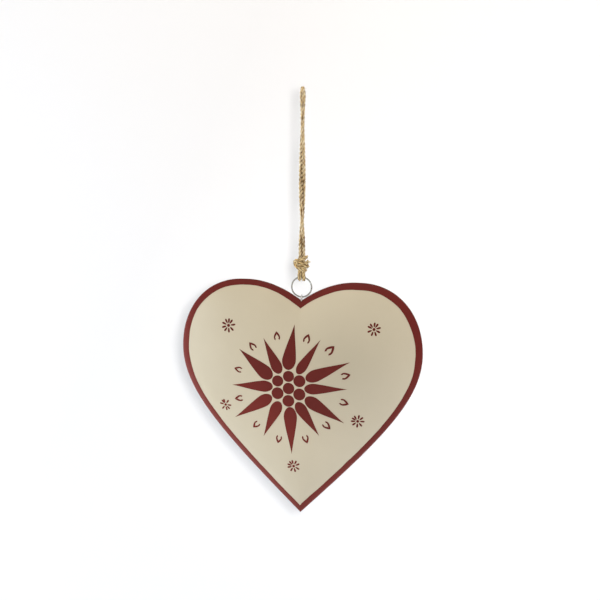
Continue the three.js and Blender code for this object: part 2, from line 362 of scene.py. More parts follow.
def close_tree(tree, shape, material):
    """End a tree: realize what it placed, shade it smooth and give it its material."""
    real = node(tree, "GeometryNodeRealizeInstances", {"Geometry": shape})
    smooth = node(tree, "GeometryNodeSetShadeSmooth", {"Geometry": real})
    dressed = node(tree, "GeometryNodeSetMaterial", {"Geometry": smooth, "Material": material})
    node(tree, "NodeGroupOutput", (dressed,))
    return tree


def settle(piece, modifier):
    """Make what a modifier gives the piece's own plain mesh, and take the modifier off."""
    graph = bpy.context.evaluated_depsgraph_get()
    mesh = bpy.data.meshes.new_from_object(
        piece.evaluated_get(graph), preserve_all_data_layers=True, depsgraph=graph)
    piece.modifiers.remove(modifier)
    piece.data = mesh
    mesh.name = piece.name


def grow(name, base, tree, sizes):
    """Run a geometry tree on a base mesh, with this piece's own sizes, and keep a plain mesh."""
    piece = put(name, base)
    grower = piece.modifiers.new("grow", "NODES")
    grower.node_group = tree
    for item in tree.interface.items_tree:
        if item.in_out == "INPUT" and item.name in sizes:
            grower[item.identifier] = sizes[item.name]
    settle(piece, grower)
    return piece


def thicken(piece, wall):
    """Give a sheet its wall on the inner side and keep sharp the edges that this makes."""
    modifier = piece.modifiers.new("wall", "SOLIDIFY")
    modifier.thickness = wall
    modifier.offset = -1
    modifier.use_even_offset = True
    settle(piece, modifier)
    piece.data.set_sharp_from_angle(angle=sharp_from)


def line_mesh(name, routes, **attributes):
    """A mesh of open lines through points, with one float attribute for each keyword."""
    points = [point for route in routes for point in route]
    edges = []
    first = 0
    for route in routes:
        edges += [(i, i + 1) for i in range(first, first + len(route) - 1)]
        first += len(route)
    mesh = bpy.data.meshes.new(name)
    mesh.from_pydata(points, edges, [])
    for label, values in attributes.items():
        mesh.attributes.new(label, "FLOAT", "POINT").data.foreach_set("value", values)
    return mesh


def smooth_route(points, steps=10):
    """Points along a Catmull-Rom curve through given points."""
    ends = [2 * points[0] - points[1], *points, 2 * points[-1] - points[-2]]
    route = []
    for a, b, c, d in zip(ends, ends[1:], ends[2:], ends[3:]):
        for step in range(steps):
            t = step / steps
            bend = (2 * a - 5 * b + 4 * c - d) * t ** 2 + (3 * b - a - 3 * c + d) * t ** 3
            route.append(b + ((c - a) * t + bend) / 2)
    return [*route, points[-1]]


# The twine: plies laid along a route

def twine_tree():
    """Three plies wound round a route, each with its own spun fibres."""
    tree, add, given = new_tree("laid_twine", {
        "Ply Radius": ply_radius, "Lay Length": lay_length, "Yarn Turn": yarn_turn,
        "Fibre Relief": fibre_relief, "Step": loop_step, "Sides": ply_sides, "Meeting": legs_meet,
        "Clear": legs_clear, "Material": straw})
    place = add("GeometryNodeInputPosition")
    normal = add("GeometryNodeInputNormal")
    along = add("GeometryNodeSplineParameter").outputs["Length"]
    girth, splay, length = [add("GeometryNodeInputNamedAttribute", {"Name": label})
                            for label in ("girth", "splay", "along")]
    core, ply_side = [add("GeometryNodeInputNamedAttribute", {"Name": label},
                          data_type="FLOAT_VECTOR") for label in ("core", "ply_side")]
    line = add("GeometryNodeMeshToCurve", {"Mesh": given["Geometry"]})
    even = add("GeometryNodeResampleCurve", {"Curve": line, "Length": given["Step"]}, mode="LENGTH")
    plies = add("GeometryNodeDuplicateElements", {"Geometry": even, "Amount": ply_count},
                domain="SPLINE")
    ply = plies.outputs["Duplicate Index"]
    # Each ply starts its share of a turn on and winds about the route.
    laid = add("ShaderNodeMath", (along, given["Lay Length"]), operation="DIVIDE")
    started = add("ShaderNodeMath", (ply, ply_count), operation="DIVIDE")
    turns = add("ShaderNodeMath", (laid, started))
    angle = add("ShaderNodeMath", (turns, tau), operation="MULTIPLY")
    axis = add("GeometryNodeInputTangent")
    aim = add("ShaderNodeVectorRotate", {"Vector": normal, "Axis": axis, "Angle": angle})
    packed = add("ShaderNodeMath", (given["Ply Radius"], packing), operation="MULTIPLY")
    spread = add("ShaderNodeMath", (packed, splay), operation="MULTIPLY")
    offset = add("ShaderNodeMath", (spread, girth), operation="MULTIPLY")
    shift = add("ShaderNodeVectorMath", {0: aim, "Scale": offset}, operation="SCALE")
    cored = add("GeometryNodeStoreNamedAttribute",
                {"Geometry": plies, "Name": "core", "Value": place}, data_type="FLOAT_VECTOR")
    numbered = add("GeometryNodeStoreNamedAttribute",
                   {"Geometry": cored, "Name": "ply", "Value": ply})
    wound = add("GeometryNodeSetPosition", {"Geometry": numbered, "Offset": shift})
    measured = add("GeometryNodeStoreNamedAttribute",
                   {"Geometry": wound, "Name": "along", "Value": along})
    section = add("GeometryNodeCurvePrimitiveCircle",
                  {"Resolution": given["Sides"], "Radius": given["Ply Radius"]})
    marked = add("GeometryNodeStoreNamedAttribute",
                 {"Geometry": section, "Name": "ply_side", "Value": place},
                 data_type="FLOAT_VECTOR")
    tube = add("GeometryNodeCurveToMesh",
               {"Curve": measured, "Profile Curve": marked, "Scale": girth, "Fill Caps": True})
    # The grain turns with the spin of the yarn, and the fibres stand out along it.
    spun = add("ShaderNodeMath", (length, given["Yarn Turn"]), operation="DIVIDE")
    spin = add("ShaderNodeMath", (spun, tau), operation="MULTIPLY")
    turned = add("ShaderNodeVectorRotate", {"Vector": ply_side, "Angle": spin},
                 rotation_type="Z_AXIS")
    run = add("ShaderNodeCombineXYZ", {"Z": length})
    grain = add("ShaderNodeVectorMath", (turned, run))
    grained = add("GeometryNodeStoreNamedAttribute",
                  {"Geometry": tube, "Name": "grain", "Value": grain}, data_type="FLOAT_VECTOR")
    drawn = add("ShaderNodeVectorMath", (grain, (1.0, 1.0, 0.1)), operation="MULTIPLY")
    fibre = add("ShaderNodeTexNoise", {"Vector": drawn, "Scale": 1 / fibre_bundle, "Detail": 1.0})
    middle = add("ShaderNodeMath", (fibre, 0.5), operation="SUBTRACT")
    depth = add("ShaderNodeMath", (middle, given["Fibre Relief"]), operation="MULTIPLY")
    outward = add("ShaderNodeVectorMath", {0: normal, "Scale": depth}, operation="SCALE")
    rough = add("GeometryNodeSetPosition", {"Geometry": grained, "Offset": outward})
    standing = add("ShaderNodeVectorMath", (place, core), operation="DISTANCE")
    crest = add("ShaderNodeMath", (standing, given["Ply Radius"]), operation="DIVIDE")
    # The loop's legs wind about the upright axis, and where they meet the twine is painted darker, as
    # painted shade of one leg on the other.
    level = add("ShaderNodeVectorMath", (place, (1.0, 1.0, 0.0)), operation="MULTIPLY")
    off_axis = add("ShaderNodeVectorMath", (level,), operation="LENGTH")
    meeting_shade = add("ShaderNodeMapRange",
                  {"Value": off_axis, "From Min": given["Meeting"], "From Max": given["Clear"],
                   "To Min": 0.5, "To Max": 1.0})
    shaded = add("ShaderNodeMath", (crest, meeting_shade), operation="MULTIPLY")
    crested = add("GeometryNodeStoreNamedAttribute",
                  {"Geometry": rough, "Name": "crest", "Value": shaded})
    return close_tree(tree, crested, given["Material"])


def fuzz_tree():
    """Short loose fibres standing off a twine at random."""
    tree, add, given = new_tree("loose_fibres", {
        "Density": loop_fibres_per_area, "Slimness": fibre_slimness, "Shortest": shortest_fibre,
        "Longest": longest_fibre, "Seed": 0, "Material": straw})
    roots = add("GeometryNodeDistributePointsOnFaces",
                {"Mesh": given["Geometry"], "Density": given["Density"], "Seed": given["Seed"]})
    # One fibre of about unit length, bowed and drawn out to a finer end
    bow = add("GeometryNodeCurveQuadraticBezier",
              {"Resolution": 4, "Start": (0, 0, -0.05), "Middle": (0.12, 0, 0.4),
               "End": (0.75, 0, 0.5)})
    taper = add("ShaderNodeMapRange",
                {"Value": add("GeometryNodeSplineParameter").outputs["Factor"],
                 "To Min": 1.0, "To Max": 0.35})
    section = add("GeometryNodeCurvePrimitiveCircle",
                  {"Resolution": 3, "Radius": given["Slimness"]})
    hair = add("GeometryNodeCurveToMesh",
               {"Curve": bow, "Profile Curve": section, "Scale": taper, "Fill Caps": True})
    spin = add("FunctionNodeRandomValue", {2: 0.0, 3: tau, "Seed": given["Seed"]})
    about = add("ShaderNodeCombineXYZ", {"Z": spin})
    swing = add("FunctionNodeEulerToRotation", (about,))
    lean = add("FunctionNodeRotateRotation",
               {"Rotation": roots.outputs["Rotation"], "Rotate By": swing}, rotation_space="LOCAL")
    size = add("FunctionNodeRandomValue",
               {2: given["Shortest"], 3: given["Longest"], "Seed": given["Seed"]})
    placed = add("GeometryNodeInstanceOnPoints",
                 {"Points": roots, "Instance": hair, "Rotation": lean, "Scale": size})
    return close_tree(tree, placed, given["Material"])


laid_twine = twine_tree()
loose_fibres = fuzz_tree()


def lay_twine(name, routes, girth, splay, step, material):
    """Twine along routes; girth and splay give its thickness and how far the plies part."""
    return grow(name, line_mesh(name, routes, girth=girth, splay=splay), laid_twine,
                {"Step": step, "Material": material})


def raise_fuzz(name, piece, density, seed, material):
    """Loose fibres over a twine piece."""
    return grow(name, piece.data.copy(), loose_fibres,
                {"Density": density, "Seed": seed, "Material": material})


# The loop: one leg runs from inside the knot to the top, and the other is the same, turned half round.
# Points in millimetres from the hang point: right, back and up.
loop_leg = [Vector([size * mm for size in point]) for point in (
    (-1.5, 0.2, -138.5), (-1.45, -0.2, -136), (-1.4, -0.38, -133.2), (-1.44, 0.2, -126),
    (-1.19, 0.83, -118), (-0.25, 1.43, -105), (0.83, 1.19, -90), (1.43, 0.25, -75),
    (1.36, -0.5, -60), (0.89, -1.14, -44), (0.26, -1.48, -29), (0.52, -2.24, -22),
    (0.99, -3.46, -15), (1.51, -4.66, -9), (1.79, -5.2, -4.2), (1.27, -3.68, -0.31))]
loop_top = Vector((0, 0, 1.3 * mm))
half_turn = Matrix.Diagonal((-1, -1, 1))
# Below the open top the real legs press into each other, so they lie closer than round cords can.
loop_leg = [Matrix.Diagonal((nestle, nestle, 1)) @ point if point.z < loop_closes else point
            for point in loop_leg]
loop_route = smooth_route([*loop_leg, loop_top, *[half_turn @ p for p in reversed(loop_leg)]])
even_girth = [1.0] * len(loop_route)
twine_loop = lay_twine("twine_loop", [loop_route], even_girth, even_girth, loop_step, straw)
loop_fibres = raise_fuzz("twine_loop_fibres", twine_loop, loop_fibres_per_area,
                         seed=3, material=straw)

# The knot: each strand leaves the loop, rounds the ring, comes up behind and winds about the rest.
# Points in millimetres from the knot's middle: right, back and up.
left_strand = [
    (-1.5, 0.2, 2.0), (-2.0, -0.1, -0.8), (-1.9, -0.4, -3.0), (-1.6, -0.7, -5.5),
    (-1.75, -1.7, -8.0), (-1.75, -1.95, -10.0), (-1.7, -1.5, -12.4), (-1.7, 0.0, -13.5),
    (-1.7, 1.5, -12.4), (-1.1, 1.95, -10.0), (-0.4, 1.9, -7.8), (1.8, 2.2, -6.3),
    (3.1, 0.1, -5.2), (2.0, -2.7, -4.8), (-1.0, -3.8, -3.7), (-4.0, -2.6, -2.1),
    (-5.7, -0.3, 0.2), (-5.3, -1.4, 2.0), (-3.0, -3.1, 3.1), (0.2, -3.7, 3.7),
    (2.6, -2.2, 4.2), (3.4, 0.2, 4.7), (3.5, 1.6, 5.2), (3.5, 2.2, 5.7)]
right_strand = [
    (1.5, -0.2, 2.0), (1.5, -0.3, -2.0), (1.6, -0.7, -5.5), (1.75, -1.7, -8.0),
    (1.75, -1.95, -10.0), (1.7, -1.5, -12.4), (1.7, 0.0, -13.5), (1.7, 1.5, -12.4),
    (1.1, 1.95, -10.0), (0.6, 3.0, -8.2), (-1.6, 3.3, -6.2), (-3.4, 1.4, -4.4),
    (-2.7, -1.7, -2.6), (0.6, -3.9, -1.7), (3.9, -2.9, -2.2), (5.0, 0.0, -2.3),
    (3.2, 3.2, -1.7), (-0.8, 4.0, -1.3), (-4.2, 2.0, -0.4), (-3.8, -2.0, 0.5),
    (-0.6, -4.5, 0.8), (3.0, -3.6, 0.8), (4.9, -0.8, 1.1), (5.3, 0.9, 1.7)]
strands = [smooth_route([knot_middle + Vector(point) * mm for point in strand])
           for strand in (left_strand, right_strand)]
# A strand is a little thicker where it rounds the ring, and its plies part at the cut end.
knot_girth = []
knot_splay = []
for strand in strands:
    for number, point in enumerate(strand):
        near_ring = max(0.0, 1 - abs(point.z - ring_top.z) / hitch_span)
        to_end = (len(strand) - 1 - number) / fray_points
        knot_girth.append(knot_slimness + hitch_swell * near_ring)
        knot_splay.append(1 + fray_splay * max(0.0, 1 - to_end) ** 2)
twine_knot = lay_twine("twine_knot", strands, knot_girth, knot_splay, knot_step, golden)
knot_fibres = raise_fuzz("twine_knot_fibres", twine_knot, knot_fibres_per_area,
                         seed=8, material=golden)

for piece in (twine_loop, loop_fibres):
    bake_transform(piece)
for piece in (twine_knot, knot_fibres):
    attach(piece, "knot")
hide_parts("cord_loop")
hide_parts("cord_knot", "hitch_strand_left", "hitch_strand_right")


# The heart: two domed stampings and the paint on them

def heart_outline():
    """The outline as one closed Bezier curve, clockwise from the notch seen from the front."""
    flip = Matrix.Diagonal((-1, 1, 1))
    notch_handle = notch + notch_pull * Vector((cos(notch_slope), 0, sin(notch_slope)))
    tip_handle = tip + tip_pull * Vector((cos(tip_slope), 0, sin(tip_slope)))
    right = Vector((1, 0, 0))
    up = Vector((0, 0, 1))
    right_side = [
        (lobe - lobe_inner_pull * right, lobe, lobe + lobe_outer_pull * right),
        (widest + widest_upper_pull * up, widest, widest - widest_lower_pull * up)]
    left_side = [(flip @ after, flip @ point, flip @ before)
                 for before, point, after in reversed(right_side)]
    knots = [(flip @ notch_handle, notch, notch_handle), *right_side,
             (tip_handle, tip, flip @ tip_handle), *left_side]
    curve = bpy.data.curves.new("heart_outline", "CURVE")
    curve.dimensions = "3D"
    curve.resolution_u = outline_steps
    spline = curve.splines.new("BEZIER")
    spline.use_cyclic_u = True
    spline.bezier_points.add(len(knots) - 1)
    for bezier, (before, point, after) in zip(spline.bezier_points, knots):
        bezier.handle_left_type = bezier.handle_right_type = "FREE"
        bezier.handle_left, bezier.co, bezier.handle_right = before, point, after
    return put("heart_outline", curve)


def dome_tree():
    """A sheet domed over the outline, whole or as a band along its edge."""
    tree, add, given = new_tree("domed_stamping", {
        "Outline": outline, "Crown": crown, "Dome Height": dome_height, "Dome Power": dome_power,
        "Seam Gap": seam_gap, "Side": -1.0, "Band Width": rim_band, "Band Taper": band_taper,
        "Left Low Extra": left_low_extra, "Left High Extra": left_high_extra,
        "Waver": band_waver, "Waver Length": waver_length, "Lift": paint_lift,
        "Softening": corner_softening, "Columns": columns + 1, "Rings": rings, "Material": cream})
    grid = add("GeometryNodeMeshGrid",
               {"Size X": 1.0, "Size Y": 1.0, "Vertices X": given["Columns"],
                "Vertices Y": given["Rings"]})
    flat = add("ShaderNodeSeparateXYZ", (add("GeometryNodeInputPosition"),)).outputs
    around = add("ShaderNodeMath", (flat["X"], 0.5))
    across = add("ShaderNodeMath", (flat["Y"], 0.5))
    line = add("GeometryNodeObjectInfo", {"Object": given["Outline"]}).outputs["Geometry"]
    edge = add("GeometryNodeSampleCurve", {"Curves": line, "Factor": around},
               use_all_curves=True).outputs["Position"]
    # The slope is read a hair inside each half, because it jumps at the notch and the tip.
    just_past_tip = 0.50001
    hair_inside = 0.012
    left_half = add("ShaderNodeMath", (around, just_past_tip), operation="GREATER_THAN")
    half_middle = add("ShaderNodeMath", (left_half, 0.5, 0.25), operation="MULTIPLY_ADD")
    inside = add("ShaderNodeMix", {0: hair_inside, 2: around, 3: half_middle})
    slope = add("GeometryNodeSampleCurve", {"Curves": line, "Factor": inside},
                use_all_curves=True).outputs["Tangent"]
    square = add("ShaderNodeVectorMath", (slope, (0.0, 1.0, 0.0)), operation="CROSS_PRODUCT")
    reach = add("ShaderNodeVectorMath", (edge, given["Crown"]), operation="SUBTRACT")
    inset = add("ShaderNodeVectorMath", (reach, square), operation="DOT_PRODUCT")
    inset_size = add("ShaderNodeMath", (inset,), operation="ABSOLUTE")
    # The painter's hand wavers, so the band's inner edge is a little uneven.
    per_length = add("ShaderNodeMath", (1.0, given["Waver Length"]), operation="DIVIDE")
    hand = add("ShaderNodeTexNoise", {"Vector": edge, "Scale": per_length, "Detail": 2.0})
    waver = add("ShaderNodeMapRange",
                {"Value": hand, "From Min": 0.3, "From Max": 0.7, "To Min": 0.0,
                 "To Max": given["Waver"]})
    wavering = add("ShaderNodeMath", (given["Band Width"], waver))
    # On the left the brush ran narrower over the lobe and broader below it.
    reached = add("ShaderNodeSeparateXYZ", (reach,)).outputs
    leftness = add("ShaderNodeMapRange",
                   {"Value": reached["X"], "From Min": 0.0, "From Max": -left_fade})
    extra = add("ShaderNodeMapRange",
                {"Value": reached["Z"], "From Min": left_change[0], "From Max": left_change[1],
                 "To Min": given["Left Low Extra"], "To Max": given["Left High Extra"]})
    painted = add("ShaderNodeMath", (leftness, extra, wavering), operation="MULTIPLY_ADD")
    band = add("ShaderNodeMath", (painted, inset_size), operation="DIVIDE")
    # The painted band is a little wider where the edge lies further out, as at the lobes.
    band_share = add("ShaderNodeMath", (band, given["Band Taper"]))
    start = add("ShaderNodeMath", (1.0, band_share), operation="SUBTRACT", use_clamp=True)
    quarter = add("ShaderNodeMath", (across, pi / 2), operation="MULTIPLY")
    eased = add("ShaderNodeMath", (quarter,), operation="SINE")
    share = add("ShaderNodeMix", {0: eased, 2: start, 3: 1.0})
    drawn_in = add("ShaderNodeVectorMath", {0: reach, "Scale": share}, operation="SCALE")
    # The pressed sheet can't follow the corners of the notch and the tip, so its height follows
    # the outline's mean reach over a stretch, and the outline itself only near the edge.
    total = 0.0
    for tap in range(-soften_taps, soften_taps + 1):
        moved = add("ShaderNodeMath", (given["Softening"], tap / soften_taps, around),
                    operation="MULTIPLY_ADD")
        wrapped = add("ShaderNodeMath", (moved,), operation="FRACT")
        near = add("GeometryNodeSampleCurve", {"Curves": line, "Factor": wrapped},
                   use_all_curves=True).outputs["Position"]
        far = add("ShaderNodeVectorMath", (near, given["Crown"]), operation="DISTANCE")
        total = add("ShaderNodeMath", (total, far))
    own_reach = add("ShaderNodeVectorMath", (reach,), operation="LENGTH")
    sum_here = add("ShaderNodeMath", (own_reach, 2.0 * soften_taps + 1), operation="MULTIPLY")
    corner = add("ShaderNodeMath", (sum_here, total), operation="DIVIDE")
    nearness = add("ShaderNodeMath", (share, edge_hold), operation="POWER")
    inner = add("ShaderNodeMath", (1.0, nearness), operation="SUBTRACT")
    ease = add("ShaderNodeMath", (corner, inner), operation="POWER")
    soft_share = add("ShaderNodeMath", (share, ease), operation="MULTIPLY")
    squared = add("ShaderNodeMath", (soft_share, soft_share), operation="MULTIPLY")
    left_over = add("ShaderNodeMath", (1.0, squared), operation="SUBTRACT", use_clamp=True)
    swell = add("ShaderNodeMath", (left_over, given["Dome Power"]), operation="POWER")
    half_gap = add("ShaderNodeMath", (given["Seam Gap"], 0.5), operation="MULTIPLY")
    height = add("ShaderNodeMath", (swell, given["Dome Height"], half_gap),
                 operation="MULTIPLY_ADD")
    sided = add("ShaderNodeMath", (height, given["Side"]), operation="MULTIPLY")
    rise = add("ShaderNodeCombineXYZ", {"Y": sided})
    in_plane = add("ShaderNodeVectorMath", (drawn_in, given["Crown"]))
    domed = add("ShaderNodeVectorMath", (in_plane, rise))
    formed = add("GeometryNodeSetPosition", {"Geometry": grid, "Position": domed})
    joined = add("GeometryNodeMergeByDistance", {"Geometry": formed, "Distance": merge_within})
    # The faces point outwards on the front sheet, and on the back one they are turned over.
    back = add("ShaderNodeMath", (given["Side"], 0.0), operation="GREATER_THAN")
    faced = add("GeometryNodeFlipFaces", {"Mesh": joined, "Selection": back})
    proud = add("ShaderNodeVectorMath",
                {0: add("GeometryNodeInputNormal"), "Scale": given["Lift"]}, operation="SCALE")
    lifted = add("GeometryNodeSetPosition", {"Geometry": faced, "Offset": proud})
    return close_tree(tree, lifted, given["Material"])


outline = heart_outline()
domed_stamping = dome_tree()


def dome(name, side, band, lift, ring_count, material, wall):
    """One domed sheet of the heart, or a band of paint along its rim."""
    piece = grow(name, bpy.data.meshes.new(name), domed_stamping, {
        "Side": float(side), "Band Width": band, "Lift": lift, "Rings": ring_count,
        "Material": material})
    thicken(piece, wall)
    return piece


# A band wider than the heart is the whole sheet.
whole = 1.0
for face, side in (("front", -1), ("back", 1)):
    shell = dome(face + "_shell_lacquered", side, whole, 0.0, rings, cream, sheet)
    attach(shell, "heart")
    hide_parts(face + "_shell")
    rim = dome(face + "_rim_paint", side, rim_band, paint_lift, rim_rings, rim_red, paint_coat)
    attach(rim, "heart")
front_shell = bpy.data.objects["front_shell_lacquered"]
bpy.data.objects.remove(outline)


# The stencilled flower: flat motifs set out on the face, then laid on the dome

def motif(name, spine, width, along, across):
    """A flat unit shape, as a strip of the given width along a spine."""
    nudge = 0.001
    spread = []
    for i in range(along + 1):
        t = (1 - cos(pi * i / along)) / 2
        way = (spine(min(1.0, t + nudge)) - spine(max(0.0, t - nudge))).normalized()
        aside = Vector((way.z, 0, -way.x))
        spread += [spine(t) + aside * width(t) * (j / across - 0.5) for j in range(across + 1)]
    faces = []
    for i in range(along):
        for j in range(across):
            corner = i * (across + 1) + j
            faces.append((corner, corner + 1, corner + across + 2, corner + across + 1))
    mesh = bpy.data.meshes.new(name)
    mesh.from_pydata(spread, [], faces)
    return put(name, mesh)


def petal_width(t):
    """Round at the foot, widest near it, then drawn out to a point."""
    widest_at = 0.22
    if t < widest_at:
        return sqrt(1 - (1 - t / widest_at) ** 2)
    rest = (t - widest_at) / (1 - widest_at)
    return (1 - rest) * (1 + 0.42 * rest - 0.6 * rest ** 2)


def bud_spine(t):
    """A pointed arch whose legs swell and turn in at the foot."""
    leg = 2 * t - 1
    return Vector((0.5 * sin(2.4 * leg), 0, 1 - abs(leg) * (1.25 - 0.25 * abs(leg))))


def dash_width(t):
    """A stroke with round ends, a little narrower towards its far end."""
    return sqrt(1 - abs(2 * t - 1) ** 2.5) * (1.1 - 0.45 * t)


petal_shape = motif("petal", lambda t: Vector((0, 0, t)), petal_width, along=30, across=8)
disc_shape = motif("disc", lambda t: Vector((0, 0, t - 0.5)), lambda t: 2 * sqrt(t * (1 - t)),
                   along=16, across=8)
bud_shape = motif("bud", bud_spine, lambda t: 0.36 - 0.18 * abs(t - 0.5), along=22, across=2)
dash_shape = motif("dash", lambda t: Vector((0, 0, t)), dash_width, along=12, across=4)


def print_tree():
    """Copies of a flat motif, turned and sized at points, laid on a curved sheet as paint."""
    tree, add, given = new_tree("stencil_print", {
        "Motif": petal_shape, "Sheet": front_shell, "Stand Off": print_stand_off,
        "Lift": paint_lift, "Material": stencil_red})
    shape, curved = [add("GeometryNodeObjectInfo", {"Object": given[label]}).outputs["Geometry"]
                     for label in ("Motif", "Sheet")]
    turn, wide, long = [add("GeometryNodeInputNamedAttribute", {"Name": label})
                        for label in ("turn", "wide", "long")]
    heading = add("ShaderNodeCombineXYZ", {"Y": turn})
    facing = add("FunctionNodeEulerToRotation", (heading,))
    scale = add("ShaderNodeCombineXYZ", (wide, 1.0, long))
    placed = add("GeometryNodeInstanceOnPoints",
                 {"Points": given["Geometry"], "Instance": shape, "Rotation": facing,
                  "Scale": scale})
    flat = add("GeometryNodeRealizeInstances", {"Geometry": placed})
    closed = add("GeometryNodeMergeByDistance", {"Geometry": flat, "Distance": merge_within})
    before = add("ShaderNodeCombineXYZ", {"Y": given["Stand Off"]})
    above = add("ShaderNodeVectorMath", (add("GeometryNodeInputPosition"), before))
    landing = add("GeometryNodeRaycast",
                  {"Target Geometry": curved, "Source Position": above,
                   "Ray Direction": (0.0, 1.0, 0.0)}).outputs
    proud = add("ShaderNodeVectorMath", {0: landing["Hit Normal"], "Scale": given["Lift"]},
                operation="SCALE")
    laid = add("GeometryNodeSetPosition",
               {"Geometry": closed, "Position": landing["Hit Position"], "Offset": proud})
    return close_tree(tree, laid, given["Material"])


stencil_print = print_tree()


def on_face(bearing, reach, centre=(0.0, 0.0)):
    """A place on the face, in millimetres from the crown, by clock bearing and reach."""
    return Vector((centre[0] + reach * sin(radians(bearing)), 0,
                   centre[1] + reach * cos(radians(bearing))))


def stencil(name, shape, marks):
    """Paint one motif at each mark: place, turn, width and length in millimetres."""
    places, turns, widths, lengths = zip(*marks)
    base = line_mesh(name, [[crown + place * mm] for place in places], turn=turns,
                     wide=[width * mm for width in widths], long=[length * mm for length in lengths])
    piece = grow(name, base, stencil_print, {"Motif": shape})
    thicken(piece, paint_coat)
    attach(piece, "heart")


# Millimetres and clock bearings in degrees, measured on the face
petals = (  # tip bearing, tip reach, foot bearing, foot reach, width
    (4.4, 53.3, -3.2, 15.6, 11.4), (31.9, 49, 29.8, 14.6, 8.3), (64.6, 55.8, 59.8, 16.4, 10.2),
    (88.6, 48.3, 88.9, 13, 9.1), (121.5, 53.8, 118.5, 15.8, 10.9), (147.3, 47.1, 149.3, 13.3, 9.5),
    (177.6, 56.7, 175.3, 15.7, 11.2), (206.7, 47.9, 213.5, 13.8, 9.8), (238.5, 54.1, 243, 15.9, 10.2),
    (270.1, 47.8, 274.3, 13.2, 9.6), (306.5, 52.2, 299.5, 16.2, 11.6), (332.5, 46.4, 329.5, 14.2, 9.4))
petal_marks = []
for tip_bearing, tip_reach, foot_bearing, foot_reach, width in petals:
    foot = on_face(foot_bearing, foot_reach, flower)
    length = on_face(tip_bearing, tip_reach, flower) - foot
    petal_marks.append((foot, atan2(length.x, length.z), width, length.length))
stencil("flower_petals", petal_shape, petal_marks)

discs = ((0, 0, 9.7), (-0.1, 10.2, 9.3), (9, 6.6, 10), (9, -4.6, 10.1), (-0.1, -10.5, 10),
         (-9.2, -4.5, 10.1), (-9.1, 5.9, 9.4))  # across, up, diameter
stencil("flower_discs", disc_shape,
        [(Vector((flower[0] + x, 0, flower[1] + z)), 0.0, d, d) for x, z, d in discs])

buds = (  # bearing, reach, size, lean
    (-13.4, 44.3, 0.95, 6), (19.4, 44.3, 1.05, 0), (45.4, 47.7, 1.2, 0), (75, 48.5, 1.05, 0),
    (102.6, 46.8, 1.05, 7), (134, 44, 1.05, 0), (161.5, 45.1, 1, 0), (190.9, 45.1, 0.93, 2),
    (219.9, 43.3, 0.95, 6), (255.1, 43.6, 0.97, 5), (287.8, 44.6, 0.9, -3), (317.9, 45.6, 1, 0))
bud_wide = 4.25
bud_long = 5.9
bud_marks = []
for bearing, reach, size, lean in buds:
    foot = on_face(bearing, reach, flower) - on_face(bearing + lean, bud_long * size / 2)
    bud_marks.append((foot, radians(bearing + lean), bud_wide * size, bud_long * size))
stencil("flower_buds", bud_shape, bud_marks)

rosettes = (  # across, up, size, bearing of each dash
    (-59.2, 51.5, 1.02, (4, 34, 79, 133, 175, 215, 251, 292, 332)),
    (60.9, 53, 0.98, (5, 35, 74, 117, 160, 201, 246, 296, 325)),
    (-62.2, -16.1, 0.88, (33, 92, 135, 168, 217, 281, 320, 342)),
    (48.7, -24.3, 0.97, (13, 52, 93, 143, 186, 232, 271, 302, 330)),
    (-4.3, -65.5, 0.95, (26, 65, 120, 165, 209, 254, 286, 318, 347)))
dash_reach = 5.8
dash_wide = 1.75
dash_long = 4.0
dot_wide = 2.5
dash_marks = []
dot_marks = []
for x, z, size, bearings in rosettes:
    dot_marks.append((Vector((x, 0, z)), 0.0, dot_wide * size, dot_wide * size))
    for bearing in bearings:
        dash_marks.append((on_face(bearing, dash_reach * size, (x, z)), radians(bearing + 180),
                           dash_wide * size, dash_long * size))
stencil("rosette_dashes", dash_shape, dash_marks)
stencil("rosette_dots", disc_shape, dot_marks)
for shape in (petal_shape, disc_shape, bud_shape, dash_shape):
    bpy.data.objects.remove(shape)


# The ring and the eye: drawn wire bent to a path

def wire_tree():
    """Round wire along a path, cut square at its ends."""
    tree, add, given = new_tree("drawn_wire", {
        "Wire": ring_wire, "Sides": wire_sides, "Material": grey_wire})
    line = add("GeometryNodeMeshToCurve", {"Mesh": given["Geometry"]})
    radius = add("ShaderNodeMath", (given["Wire"], 0.5), operation="MULTIPLY")
    section = add("GeometryNodeCurvePrimitiveCircle",
                  {"Resolution": given["Sides"], "Radius": radius})
    tube = add("GeometryNodeCurveToMesh",
               {"Curve": line, "Profile Curve": section, "Fill Caps": True})
    return close_tree(tree, tube, given["Material"])


drawn_wire = wire_tree()


def bend_wire(name, path, size, material, body, node_name):
    """A bent wire that stands for a wire of the frame."""
    piece = grow(name, line_mesh(name, [path]), drawn_wire, {"Wire": size, "Material": material})
    piece.data.set_sharp_from_angle(angle=sharp_from)
    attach(piece, body)
    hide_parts(node_name)


ring_middle = (ring_top + ring_bottom) / 2
half_cut = ring_cut / ring_diameter
ring_path = []
for step in range(ring_steps + 1):
    turn = ring_cut_turn + half_cut + (tau - 2 * half_cut) * step / ring_steps
    ring_path.append(ring_middle + ring_diameter / 2 * Vector((cos(turn), 0, sin(turn))))
bend_wire("hanging_ring_wire", ring_path, ring_wire, grey_wire, "ring", "hanging_ring")

leg_out = eye_leg_gap / 2 + eye_wire / 2
loop_end = -sqrt(eye_turn ** 2 - leg_out ** 2)
eye_start = atan2(leg_out, loop_end)
eye_path = [Vector((0, leg_out, -eye_depth - (ring_bottom.z - notch.z))),
            Vector((0, leg_out, loop_end - eye_neck))]
for step in range(eye_steps + 1):
    turn = eye_start * (1 - 2 * step / eye_steps)
    eye_path.append(eye_turn * Vector((0, sin(turn), cos(turn))))
eye_path += [Vector((p.x, -p.y, p.z)) for p in reversed(eye_path[:2])]
bend_wire("hanger_eye_wire", [ring_bottom + p for p in eye_path], eye_wire, painted_highlight_wire,
          "heart", "hanger_eye")

